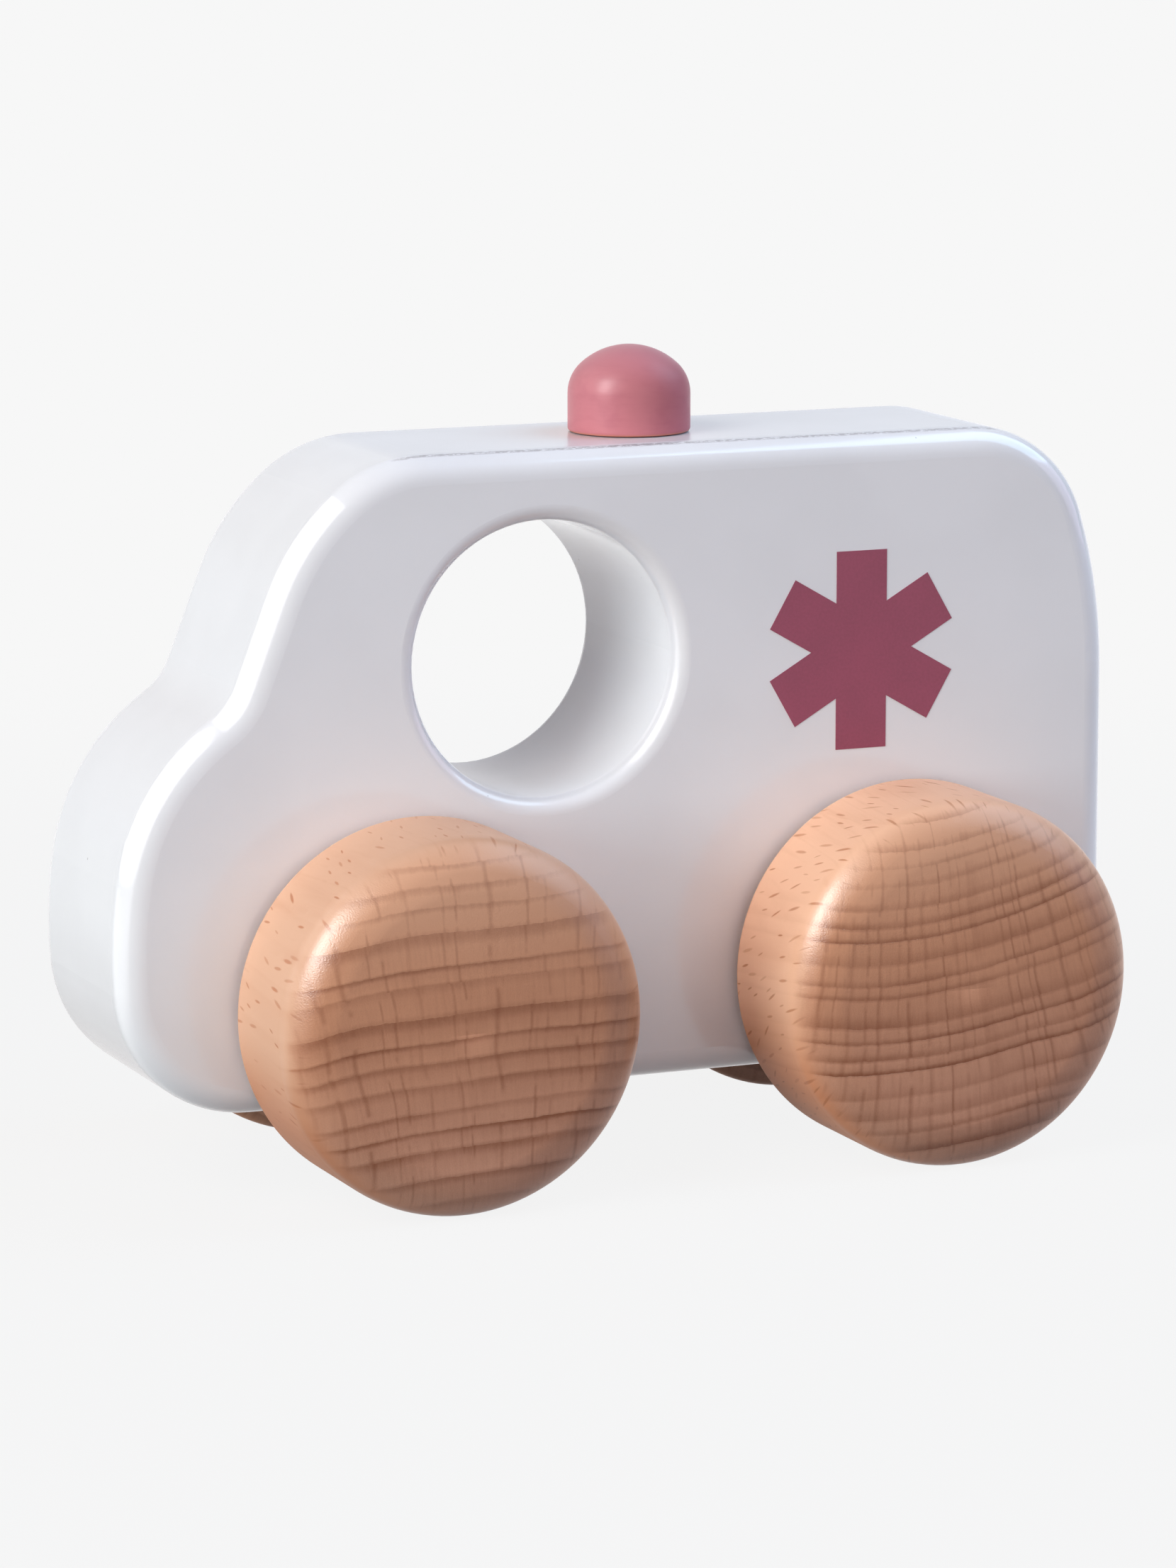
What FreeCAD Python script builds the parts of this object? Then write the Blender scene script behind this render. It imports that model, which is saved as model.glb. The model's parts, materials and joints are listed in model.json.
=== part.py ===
import FreeCAD, Part
import math
import os

import Sketcher

# Wooden push-along toy ambulance. Millimetres, +Z up, the nose towards -X.
# The origin lies on the ground under the middle of the body, and the toy is symmetric about Y = 0.
# A block sawn to the side profile of a small van carries two dowel axles in plain bores.
# A turned wheel is glued on each axle end, and a turned lamp knob sits on a dowel in the roof.

# Driving dimensions. Setbacks are measured back from the nose, heights up from the ground.
# The windscreen's straight line crosses the bonnet's height at its foot, and its lean is a run
# back over the body's whole height.
DIMENSIONS = {
    # body block
    "body_length": 114.4,
    "body_thickness": 26.0,
    "ground_clearance": 9.0,
    "roof_height": 77.4,
    "body_edge_radius": 3.0,
    # side profile, from the tail over the roof to the nose
    "tail_corner_radius": 5.0,
    "tail_bow_radius": 58.0,
    "roof_rear_radius": 14.0,
    "screen_foot_setback": 14.1,
    "screen_lean_run": 26.4,
    "bonnet_height": 55.0,
    "nose_radius": 52.6,
    # finger hole, and the wall between it and the roof
    "hole_radius": 14.75,
    "hole_setback": 47.8,
    "hole_roof_wall": 7.45,
    "hole_edge_radius": 1.8,
    # axles
    "axle_radius": 4.0,
    "axle_clearance": 0.08,
    "front_axle_setback": 32.3,
    "wheelbase": 56.8,
    "dowel_chamfer": 0.6,
    # wheels
    "wheel_radius": 20.0,
    "wheel_width": 17.0,
    "wheel_gap": 0.8,
    "wheel_base_round": 1.0,
    "wheel_shoulder_radius": 3.5,
    "wheel_crown": 0.8,
    "wheel_bore_depth": 11.0,
    # roof lamp
    "lamp_radius": 6.6,
    "lamp_height": 9.35,
    "lamp_behind_hole": 14.9,
    "lamp_base_round": 0.5,
    "lamp_shoulder_radius": 4.4,
    "lamp_crown": 0.85,
    "lamp_bore_depth": 5.0,
    "lamp_dowel_radius": 2.5,
    "roof_socket_depth": 9.0,
    # glue joints: radial play, and the room for glue at the end of a blind bore
    "glue_play": 0.04,
    "glue_room": 0.4,
}

# The bends of the profile as shares of the sizes that they follow
OUTLINE_SHARES = {
    # of the body's height: the end of the tail's straight run
    "tail_straight": 0.6,
    # of the windscreen's height, from the bonnet to the roof
    "roof_front_radius": 0.70,
    "screen_radius": 1.15,
    "cowl_radius": 0.32,
    # of the windscreen's lean: the turn of the roof's front corner
    "roof_front_turn": 0.59,
    # of the bonnet's height above the underside
    "bonnet_radius": 0.53,
    "nose_height": 0.38,
    "chin_radius": 0.32,
}

# Distance within which a point counts as lying on a face, and the points tested on each edge
TOUCH = 1e-4
POINTS_ON_EDGE = 5

# Sketcher's own numbers: the two axes, the ends and centre of a line or arc, and the origin point
X_AXIS, V_AXIS = range(-1, -3, -1)
START, END, CENTRE = range(1, 4)
ORIGIN = (X_AXIS, START)

# Places that several pieces share, as expressions on the sheet
NOSE_X = "-Sizes.body_length / 2"
TAIL_X = "Sizes.body_length / 2"
AXLE_X = {
    "front": f"{NOSE_X} + Sizes.front_axle_setback",
    "rear": f"{NOSE_X} + Sizes.front_axle_setback + Sizes.wheelbase",
}
HOLE_X = f"{NOSE_X} + Sizes.hole_setback"
HOLE_Z = "Sizes.roof_height - Sizes.hole_roof_wall - Sizes.hole_radius"
LAMP_X = f"{HOLE_X} + Sizes.lamp_behind_hole"
WHEEL_FACE = "Sizes.body_thickness / 2 + Sizes.wheel_gap"

# Sizes of the side profile, as expressions on the sheet
BODY_RISE = "(Sizes.roof_height - Sizes.ground_clearance)"
BONNET_RISE = "(Sizes.bonnet_height - Sizes.ground_clearance)"
SCREEN_RISE = "(Sizes.roof_height - Sizes.bonnet_height)"
SCREEN_FOOT_X = f"{NOSE_X} + Sizes.screen_foot_setback"
SCREEN_LEAN = f"atan({BODY_RISE} / Sizes.screen_lean_run)"
ROOF_FRONT_TURN = f"{OUTLINE_SHARES['roof_front_turn']} * {SCREEN_LEAN}"
TAIL_BOW_Z = f"Sizes.ground_clearance + {OUTLINE_SHARES['tail_straight']} * {BODY_RISE}"
NOSE_Z = f"Sizes.ground_clearance + {OUTLINE_SHARES['nose_height']} * {BONNET_RISE}"
PROFILE_RADII = {
    "tail_corner": "Sizes.tail_corner_radius",
    "tail_bow": "Sizes.tail_bow_radius",
    "roof_rear": "Sizes.roof_rear_radius",
    "roof_front": f"{OUTLINE_SHARES['roof_front_radius']} * {SCREEN_RISE}",
    "screen": f"{OUTLINE_SHARES['screen_radius']} * {SCREEN_RISE}",
    "cowl": f"{OUTLINE_SHARES['cowl_radius']} * {SCREEN_RISE}",
    "bonnet": f"{OUTLINE_SHARES['bonnet_radius']} * {BONNET_RISE}",
    "nose": "Sizes.nose_radius",
    "chin": f"{OUTLINE_SHARES['chin_radius']} * {BONNET_RISE}",
}
BONNET_Z = f"Sizes.bonnet_height - {PROFILE_RADII['bonnet']}"

document = FreeCAD.newDocument("ToyAmbulance")
sheet = document.addObject("Spreadsheet::Sheet", "Sizes")
for row, (alias, number) in enumerate(DIMENSIONS.items(), start=1):
    sheet.set(f"A{row}", alias.replace("_", " "))
    sheet.set(f"B{row}", str(number))
    sheet.setAlias(f"B{row}", alias)
document.recompute()

nodes = {}


def value_of(expression):
    result = sheet.evalExpression(expression)
    return float(getattr(result, "Value", result))


def size(alias):
    return value_of(f"Sizes.{alias}")


# Helpers for sketches and bodies


def new_body(label):
    body = document.addObject("PartDesign::Body", label)
    body.Label = label
    nodes[label] = body
    return body


def new_sketch(body, name, plane):
    """A sketch on one of the body's own origin planes, such as XZ_Plane."""
    sketch = body.newObject("Sketcher::SketchObject", f"{body.Name}_{name}")
    support = next(f for f in body.Origin.OriginFeatures if f.Role == plane)
    sketch.AttachmentSupport = [(support, "")]
    sketch.MapMode = "FlatFace"
    return sketch


def place(body, x="0", y="0", z="0", up=(0, 0, 1)):
    """Moves a body, and turns it so that its own +Z points along up."""
    body.Placement.Rotation = FreeCAD.Rotation(FreeCAD.Vector(0, 0, 1), FreeCAD.Vector(*up))
    for axis, expression in (("x", x), ("y", y), ("z", z)):
        body.setExpression(f".Placement.Base.{axis}", expression)


def line(sketch, start, end):
    first = FreeCAD.Vector(*start)
    last = FreeCAD.Vector(*end)
    return sketch.addGeometry(Part.LineSegment(first, last), False)


def circle(sketch, centre, radius):
    round_edge = Part.Circle(FreeCAD.Vector(*centre), FreeCAD.Vector(0, 0, 1), radius)
    return sketch.addGeometry(round_edge, False)


def arc(sketch, centre, radius, start_angle, end_angle):
    whole = Part.Circle(FreeCAD.Vector(*centre), FreeCAD.Vector(0, 0, 1), radius)
    return sketch.addGeometry(Part.ArcOfCircle(whole, start_angle, end_angle), False)


def on_circle(centre, radius, angle):
    return (centre[0] + radius * math.cos(angle), centre[1] + radius * math.sin(angle))


def rule(sketch, kind, *where):
    sketch.addConstraint(Sketcher.Constraint(kind, *where))


def tie(sketch, name, kind, where, expression):
    """Adds a constraint whose value follows the sheet."""
    value = value_of(expression)
    if kind == "Angle":
        value = math.radians(value)
    index = sketch.addConstraint(Sketcher.Constraint(kind, *where, value))
    sketch.renameConstraint(index, name)
    sketch.setExpression(f"Constraints.{name}", expression)


def side_rims(feature, side, centre=None, reach=0.0):
    """Edges of a feature that lie in the faces Y = side and Y = -side.

    With a centre (x, z), only those that stay within reach of it.
    """
    names = []
    for number, edge in enumerate(feature.Shape.Edges, start=1):
        points = edge.discretize(Number=POINTS_ON_EDGE)
        in_face = all(abs(abs(p.y) - side) < TOUCH for p in points)
        near = centre is None or all(
            math.hypot(p.x - centre[0], p.z - centre[1]) < reach + TOUCH for p in points
        )
        if in_face and near:
            names.append(f"Edge{number}")
    return names


# The body block


def touching_from_inside(large, large_radius, small_radius, height, side):
    """Centre, at this height, of a circle that touches a larger one from inside."""
    apart = large_radius - small_radius
    return (large[0] + side * math.sqrt(apart**2 - (height - large[1]) ** 2), height)


def direction(start, end):
    return math.atan2(end[1] - start[1], end[0] - start[0]) % (2 * math.pi)


def profile_arcs():
    """The side profile's arcs in order, counter-clockwise from the tail's lower corner.

    Each is (centre, radius, start angle, end angle). The cowl is hollow, so it runs the other way.
    """
    quarter = math.pi / 2
    nose_x = value_of(NOSE_X)
    tail_x = value_of(TAIL_X)
    bottom = size("ground_clearance")
    roof = size("roof_height")
    radius = {name: value_of(text) for name, text in PROFILE_RADII.items()}
    arcs = {}

    corner = (tail_x - radius["tail_corner"], bottom + radius["tail_corner"])
    arcs["tail_corner"] = (corner, radius["tail_corner"], -quarter, 0)

    # the tail bows gently forward above its straight run and hands over to the roof's corner
    bow = (tail_x - radius["tail_bow"], value_of(TAIL_BOW_Z))
    rear_z = roof - radius["roof_rear"]
    rear = touching_from_inside(bow, radius["tail_bow"], radius["roof_rear"], rear_z, 1)
    handover = direction(bow, rear)
    arcs["tail_bow"] = (bow, radius["tail_bow"], 0, handover)
    arcs["roof_rear"] = (rear, radius["roof_rear"], handover, quarter)

    # the roof's front corner hands over to the wider bend above the windscreen, and that bend
    # ends on the windscreen's straight line, which leans back from its foot
    lean = math.radians(value_of(SCREEN_LEAN))
    turned = quarter + math.radians(value_of(ROOF_FRONT_TURN))
    wider = radius["screen"] - radius["roof_front"]
    screen_z = roof - radius["roof_front"] - wider * math.sin(turned)
    climb = screen_z + radius["screen"] * math.cos(lean) - size("bonnet_height")
    foot_x = value_of(SCREEN_FOOT_X)
    screen_x = foot_x + climb / math.tan(lean) + radius["screen"] * math.sin(lean)
    screen = (screen_x, screen_z)
    front = on_circle(screen, wider, turned)
    arcs["roof_front"] = (front, radius["roof_front"], quarter, turned)
    arcs["screen"] = (screen, radius["screen"], turned, quarter + lean)

    nose = (nose_x + radius["nose"], value_of(NOSE_Z))
    bonnet_z = value_of(BONNET_Z)
    bonnet = touching_from_inside(nose, radius["nose"], radius["bonnet"], bonnet_z, -1)
    chin_z = bottom + radius["chin"]
    chin = touching_from_inside(nose, radius["nose"], radius["chin"], chin_z, -1)

    # the cowl touches the windscreen's straight run, and the bonnet from outside
    touch = radius["bonnet"] + radius["cowl"]
    top = on_circle(screen, radius["screen"] + radius["cowl"], quarter + lean)
    down = (-math.cos(lean), -math.sin(lean))
    offset = (top[0] - bonnet[0], top[1] - bonnet[1])
    along = offset[0] * down[0] + offset[1] * down[1]
    beside = offset[0] * down[1] - offset[1] * down[0]
    run = -along - math.sqrt(touch**2 - beside**2)
    cowl = (top[0] + run * down[0], top[1] + run * down[1])
    crest = direction(bonnet, cowl)
    arcs["cowl"] = (cowl, radius["cowl"], crest - math.pi, lean - quarter)
    arcs["bonnet"] = (bonnet, radius["bonnet"], crest, direction(nose, bonnet))
    arcs["nose"] = (nose, radius["nose"], direction(nose, bonnet), direction(nose, chin))
    arcs["chin"] = (chin, radius["chin"], direction(nose, chin), 2 * math.pi - quarter)
    return arcs


def draw_profile(sketch):
    """Nine arcs and four straight runs, each tangent to the next, tied to the sheet."""
    arcs = profile_arcs()
    first = {name: on_circle(c, r, a) for name, (c, r, a, _) in arcs.items()}
    last = {name: on_circle(c, r, a) for name, (c, r, _, a) in arcs.items()}
    drawn = {name: arc(sketch, *values) for name, values in arcs.items()}
    tail = line(sketch, last["tail_corner"], first["tail_bow"])
    roof = line(sketch, last["roof_rear"], first["roof_front"])
    screen = line(sketch, last["screen"], last["cowl"])
    floor = line(sketch, last["chin"], first["tail_corner"])
    foot = FreeCAD.Vector(value_of(SCREEN_FOOT_X), size("bonnet_height"))
    screen_foot = sketch.addGeometry(Part.Point(foot), True)

    forward = [
        drawn["tail_corner"],
        tail,
        drawn["tail_bow"],
        drawn["roof_rear"],
        roof,
        drawn["roof_front"],
        drawn["screen"],
        screen,
    ]
    for one, other in zip(forward, forward[1:]):
        rule(sketch, "Tangent", one, END, other, START)
    rule(sketch, "Tangent", screen, END, drawn["cowl"], END)
    rule(sketch, "Tangent", drawn["cowl"], START, drawn["bonnet"], START)
    down = [drawn["bonnet"], drawn["nose"], drawn["chin"], floor, drawn["tail_corner"]]
    for one, other in zip(down, down[1:]):
        rule(sketch, "Tangent", one, END, other, START)

    rule(sketch, "Vertical", tail)
    rule(sketch, "Horizontal", roof)
    rule(sketch, "Horizontal", floor)
    rule(sketch, "PointOnObject", screen_foot, START, screen)
    for name, index in drawn.items():
        tie(sketch, f"{name}_radius", "Radius", (index,), PROFILE_RADII[name])

    def tie_point(name, index, point, x=None, z=None):
        for kind, text in (("DistanceX", x), ("DistanceY", z)):
            if text:
                tie(sketch, f"{name}_{kind}", kind, (*ORIGIN, index, point), text)

    tie_point("tail", tail, START, x=TAIL_X)
    tie_point("floor", floor, START, z="Sizes.ground_clearance")
    tie_point("roof", roof, START, z="Sizes.roof_height")
    tie_point("tail_bow", drawn["tail_bow"], CENTRE, z=TAIL_BOW_Z)
    tie_point("screen_foot", screen_foot, START, x=SCREEN_FOOT_X, z="Sizes.bonnet_height")
    nose_x = f"{NOSE_X} + Sizes.nose_radius"
    tie_point("nose", drawn["nose"], CENTRE, x=nose_x, z=NOSE_Z)
    tie_point("bonnet", drawn["bonnet"], CENTRE, z=BONNET_Z)
    tie(sketch, "roof_front_turn", "Angle", (drawn["roof_front"],), ROOF_FRONT_TURN)
    tie(sketch, "screen_lean", "Angle", (screen,), f"{SCREEN_LEAN} - 180 deg")


def cut_round_holes(body, name, holes):
    """Round holes right through along Y. Each hole is (name, x, z, radius) as expressions."""
    sketch = new_sketch(body, name, "XZ_Plane")
    for hole, x, z, radius in holes:
        index = circle(sketch, (value_of(x), value_of(z)), value_of(radius))
        tie(sketch, f"{hole}_radius", "Radius", (index,), radius)
        tie(sketch, f"{hole}_x", "DistanceX", (*ORIGIN, index, CENTRE), x)
        tie(sketch, f"{hole}_z", "DistanceY", (*ORIGIN, index, CENTRE), z)
    pocket = body.newObject("PartDesign::Pocket", f"{name}_cut")
    pocket.Profile = sketch
    pocket.Type = "ThroughAll"
    pocket.SideType = "Symmetric"
    document.recompute()
    return pocket


def round_edges(body, name, feature, edges, radius):
    fillet = body.newObject("PartDesign::Fillet", name)
    fillet.Base = (feature, edges)
    fillet.setExpression("Radius", radius)
    document.recompute()
    return fillet


def make_body_block():
    body = new_body("body_block")
    side = value_of("Sizes.body_thickness / 2")

    profile = new_sketch(body, "side_profile", "XZ_Plane")
    draw_profile(profile)
    blank = body.newObject("PartDesign::Pad", "sawn_blank")
    blank.Profile = profile
    blank.SideType = "Symmetric"
    blank.setExpression("Length", "Sizes.body_thickness")
    document.recompute()
    outline = side_rims(blank, side)
    round_edges(body, "outline_rounds", blank, outline, "Sizes.body_edge_radius")

    hole = ("finger_hole", HOLE_X, HOLE_Z, "Sizes.hole_radius")
    bored = cut_round_holes(body, "finger_hole", [hole])
    centre = (value_of(HOLE_X), value_of(HOLE_Z))
    rims = side_rims(bored, side, centre, size("hole_radius"))
    round_edges(body, "finger_hole_rounds", bored, rims, "Sizes.hole_edge_radius")

    bore_radius = "Sizes.axle_radius + Sizes.axle_clearance"
    bores = [(f"{end}_bore", x, "Sizes.wheel_radius", bore_radius) for end, x in AXLE_X.items()]
    cut_round_holes(body, "axle_bores", bores)

    socket = new_sketch(body, "lamp_socket", "XY_Plane")
    socket.setExpression("AttachmentOffset.Base.z", "Sizes.roof_height")
    radius = "Sizes.lamp_dowel_radius + Sizes.glue_play"
    mouth = circle(socket, (value_of(LAMP_X), 0), value_of(radius))
    tie(socket, "socket_radius", "Radius", (mouth,), radius)
    tie(socket, "socket_x", "DistanceX", (*ORIGIN, mouth, CENTRE), LAMP_X)
    rule(socket, "PointOnObject", mouth, CENTRE, X_AXIS)
    sunk = body.newObject("PartDesign::Pocket", "lamp_socket_cut")
    sunk.Profile = socket
    sunk.setExpression("Length", "Sizes.roof_socket_depth")
    document.recompute()


# Turned pieces: the wheels and the lamp knob


def draw_turned_profile(sketch, family, bore_radius, bore_depth, height):
    """Half of a turned piece with a blind bore in its base and a domed top.

    X is the distance from the axis and Y the height above the base. The base edge, the shoulder
    and the crown are arcs, and the crown's own radius follows from the other sizes.
    """
    quarter = math.pi / 2
    radius = size(f"{family}_radius")
    base_round = size(f"{family}_base_round")
    shoulder = size(f"{family}_shoulder_radius")
    top = value_of(height)
    inner = value_of(bore_radius)
    depth = value_of(bore_depth)

    rise = shoulder + size(f"{family}_crown")
    waist = top - rise
    inset = radius - shoulder
    crown = (inset**2 + rise**2 - shoulder**2) / (2 * (rise - shoulder))
    handover = math.atan2(waist - (top - crown), inset)

    floor = line(sketch, (inner, 0), (radius - base_round, 0))
    edge = arc(sketch, (radius - base_round, base_round), base_round, -quarter, 0)
    wall = line(sketch, (radius, base_round), (radius, waist))
    bend = arc(sketch, (inset, waist), shoulder, 0, handover)
    dome = arc(sketch, (0, top - crown), crown, handover, quarter)
    axis = line(sketch, (0, top), (0, depth))
    bore_end = line(sketch, (0, depth), (inner, depth))
    bore_wall = line(sketch, (inner, depth), (inner, 0))

    outside = [floor, edge, wall, bend, dome]
    for one, other in zip(outside, outside[1:]):
        rule(sketch, "Tangent", one, END, other, START)
    inside = [dome, axis, bore_end, bore_wall, floor]
    for one, other in zip(inside, inside[1:]):
        rule(sketch, "Coincident", one, END, other, START)
    rule(sketch, "Horizontal", floor)
    rule(sketch, "Vertical", wall)
    rule(sketch, "Horizontal", bore_end)
    rule(sketch, "Vertical", bore_wall)
    rule(sketch, "PointOnObject", floor, START, X_AXIS)
    rule(sketch, "PointOnObject", dome, END, V_AXIS)
    rule(sketch, "PointOnObject", dome, CENTRE, V_AXIS)
    rule(sketch, "PointOnObject", bore_end, START, V_AXIS)

    rise_text = f"(Sizes.{family}_shoulder_radius + Sizes.{family}_crown)"
    tie(sketch, "base_round", "Radius", (edge,), f"Sizes.{family}_base_round")
    tie(sketch, "shoulder_radius", "Radius", (bend,), f"Sizes.{family}_shoulder_radius")
    tie(sketch, "outer_radius", "DistanceX", (*ORIGIN, wall, START), f"Sizes.{family}_radius")
    tie(sketch, "waist_height", "DistanceY", (*ORIGIN, wall, END), f"{height} - {rise_text}")
    tie(sketch, "top_height", "DistanceY", (*ORIGIN, axis, START), height)
    tie(sketch, "bore_radius", "DistanceX", (*ORIGIN, bore_wall, START), bore_radius)
    tie(sketch, "bore_depth", "DistanceY", (*ORIGIN, bore_wall, START), bore_depth)


def make_turned_piece(label, family, bore_radius, bore_depth, height):
    body = new_body(label)
    profile = new_sketch(body, "half_profile", "XZ_Plane")
    draw_turned_profile(profile, family, bore_radius, bore_depth, height)
    turned = body.newObject("PartDesign::Revolution", f"{label}_turned")
    turned.Profile = profile
    turned.ReferenceAxis = (profile, ["V_Axis"])
    turned.Angle = 360
    document.recompute()
    return body


def make_wheel(end, side_name, side):
    """A wheel whose base faces the body. Side is -1 on the left, towards -Y, and 1 on the right."""
    bore = "Sizes.axle_radius + Sizes.glue_play"
    label = f"{end}_{side_name}_wheel"
    body = make_turned_piece(label, "wheel", bore, "Sizes.wheel_bore_depth", "Sizes.wheel_width")
    outward = (0, side, 0)
    place(body, AXLE_X[end], f"{side} * ({WHEEL_FACE})", "Sizes.wheel_radius", outward)


def make_lamp():
    bore = "Sizes.lamp_dowel_radius + Sizes.glue_play"
    body = make_turned_piece("roof_lamp", "lamp", bore, "Sizes.lamp_bore_depth", "Sizes.lamp_height")
    place(body, LAMP_X, z="Sizes.roof_height")


# Dowels: the axles and the lamp's dowel


def make_dowel(label, plane, radius, length):
    """A round rod with chamfered ends, centred on the body's origin, square to the plane."""
    body = new_body(label)
    section = new_sketch(body, "section", plane)
    index = circle(section, (0, 0), value_of(radius))
    tie(section, "rod_radius", "Radius", (index,), radius)
    rule(section, "Coincident", index, CENTRE, *ORIGIN)
    rod = body.newObject("PartDesign::Pad", f"{label}_rod")
    rod.Profile = section
    rod.SideType = "Symmetric"
    rod.setExpression("Length", length)
    document.recompute()
    rims = [f"Edge{n}" for n, e in enumerate(rod.Shape.Edges, start=1) if e.isClosed()]
    chamfer = body.newObject("PartDesign::Chamfer", f"{label}_chamfers")
    chamfer.Base = (rod, rims)
    chamfer.setExpression("Size", "Sizes.dowel_chamfer")
    document.recompute()
    return body


def make_axle(end):
    depth = "(Sizes.wheel_bore_depth - Sizes.glue_room)"
    length = f"2 * ({WHEEL_FACE} + {depth})"
    body = make_dowel(f"{end}_axle", "XZ_Plane", "Sizes.axle_radius", length)
    place(body, AXLE_X[end], z="Sizes.wheel_radius")


def make_lamp_dowel():
    above = "(Sizes.lamp_bore_depth - Sizes.glue_room)"
    below = "(Sizes.roof_socket_depth - Sizes.glue_room)"
    length = f"{above} + {below}"
    body = make_dowel("lamp_dowel", "XY_Plane", "Sizes.lamp_dowel_radius", length)
    place(body, LAMP_X, z=f"Sizes.roof_height + ({above} - {below}) / 2")


# Checks and files


def check_document():
    for item in document.Objects:
        bad = [state for state in item.State if state in ("Invalid", "Error")]
        if bad:
            raise RuntimeError(f"{item.Name} is {bad}")
    for label, body in nodes.items():
        shape = body.Shape
        if shape.isNull() or not shape.isValid() or len(shape.Solids) != 1:
            raise RuntimeError(f"{label} isn't one valid solid")


def write_files():
    os.makedirs("parts", exist_ok=True)
    for label, body in nodes.items():
        body.Shape.exportStep(f"parts/{label}.step")
        box = body.Shape.BoundBox
        lows = f"{box.XMin:.2f} {box.YMin:.2f} {box.ZMin:.2f}"
        highs = f"{box.XMax:.2f} {box.YMax:.2f} {box.ZMax:.2f}"
        print(f"{label}: from {lows} to {highs}, volume {body.Shape.Volume:.1f}")


make_body_block()
for axle_end in AXLE_X:
    make_axle(axle_end)
    make_wheel(axle_end, "left", -1)
    make_wheel(axle_end, "right", 1)
make_lamp()
make_lamp_dowel()
document.recompute()
check_document()
write_files()
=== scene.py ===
import json
import math

import bmesh
import bpy
from bpy.props import FloatProperty, FloatVectorProperty, PointerProperty
from mathutils import Matrix, Vector


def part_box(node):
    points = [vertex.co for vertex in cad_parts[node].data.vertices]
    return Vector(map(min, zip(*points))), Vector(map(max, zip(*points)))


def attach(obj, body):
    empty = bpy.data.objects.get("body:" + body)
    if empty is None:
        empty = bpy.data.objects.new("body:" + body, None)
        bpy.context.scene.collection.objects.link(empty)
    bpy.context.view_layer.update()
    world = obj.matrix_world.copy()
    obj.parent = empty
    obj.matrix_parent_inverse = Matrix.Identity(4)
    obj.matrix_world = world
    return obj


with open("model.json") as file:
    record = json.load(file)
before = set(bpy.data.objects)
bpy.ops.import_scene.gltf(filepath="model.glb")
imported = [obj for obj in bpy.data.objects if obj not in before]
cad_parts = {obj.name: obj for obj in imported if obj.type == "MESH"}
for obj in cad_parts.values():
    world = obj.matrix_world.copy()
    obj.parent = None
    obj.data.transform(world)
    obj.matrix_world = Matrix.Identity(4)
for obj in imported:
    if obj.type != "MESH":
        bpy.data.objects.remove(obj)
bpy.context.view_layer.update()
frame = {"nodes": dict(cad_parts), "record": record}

# Looks of a wooden push-along toy ambulance: white gloss lacquer on the block, satin beech wheels,
# a pink lamp knob, a six-armed cross printed on each side, and a plain studio.
# Metres, +Z up, the nose towards -X and the photographed side towards -Y.

bl_info = {
    "name": "Toy ambulance",
    "version": (1, 0, 0),
    "blender": (4, 5, 0),
    "location": "View3D > Sidebar > Toy ambulance",
    "description": "Finishes, side prints and studio for a wooden push-along ambulance",
    "category": "Object",
}

MM = 0.001
BODY_LOW, BODY_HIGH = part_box("body_block")
LAMP_LOW, LAMP_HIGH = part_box("roof_lamp")
HOLE = next(mount for mount in frame["record"]["mounts"] if mount["name"] == "finger_hole")


def colour_property(name, description, default):
    return FloatVectorProperty(
        name=name, description=description, default=default, subtype="COLOR", size=3, min=0.0, max=1.0
    )


def length_property(name, description, default):
    return FloatProperty(name=name, description=description, default=default, unit="LENGTH", min=0.0)


def place_property(name, description, default):
    return FloatProperty(name=name, description=description, default=default, unit="LENGTH")


def factor_property(name, description, default):
    return FloatProperty(
        name=name, description=description, default=default, subtype="FACTOR", min=0.0, max=1.0
    )


def angle_property(name, description, default):
    return FloatProperty(name=name, description=description, default=default, unit="ROTATION")


# Settings that a user would change


class LacquerSettings(bpy.types.PropertyGroup):
    white: colour_property("White", "Colour of the lacquer", (0.83, 0.83, 0.862))
    # also the grey of the painted reflection lines along the roof edges
    speck_and_reflection_grey: colour_property("Specks", "Colour of the dust under the lacquer", (0.42, 0.40, 0.42))
    speck_spacing: length_property("Speck spacing", "Distance between places for a speck", 5.0 * MM)
    speck_size: length_property("Speck size", "Radius of the largest specks", 0.16 * MM)
    peel_size: length_property("Peel size", "Width of the ripples in the lacquer", 2.6 * MM)
    peel_depth: length_property("Peel depth", "Height of the ripples in the lacquer", 0.006 * MM)
    # the edge's radius also places the painted dark reflection line along each roof edge
    edge: length_property("Edge", "Radius of the rounded edges, for the worn line", 3.0 * MM)
    roughness: factor_property("Roughness", "Roughness below the gloss", 0.16)
    gloss: factor_property("Gloss", "Strength of the gloss coat", 0.8)
    gloss_roughness: factor_property("Gloss roughness", "Roughness of the gloss coat", 0.08)


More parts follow.
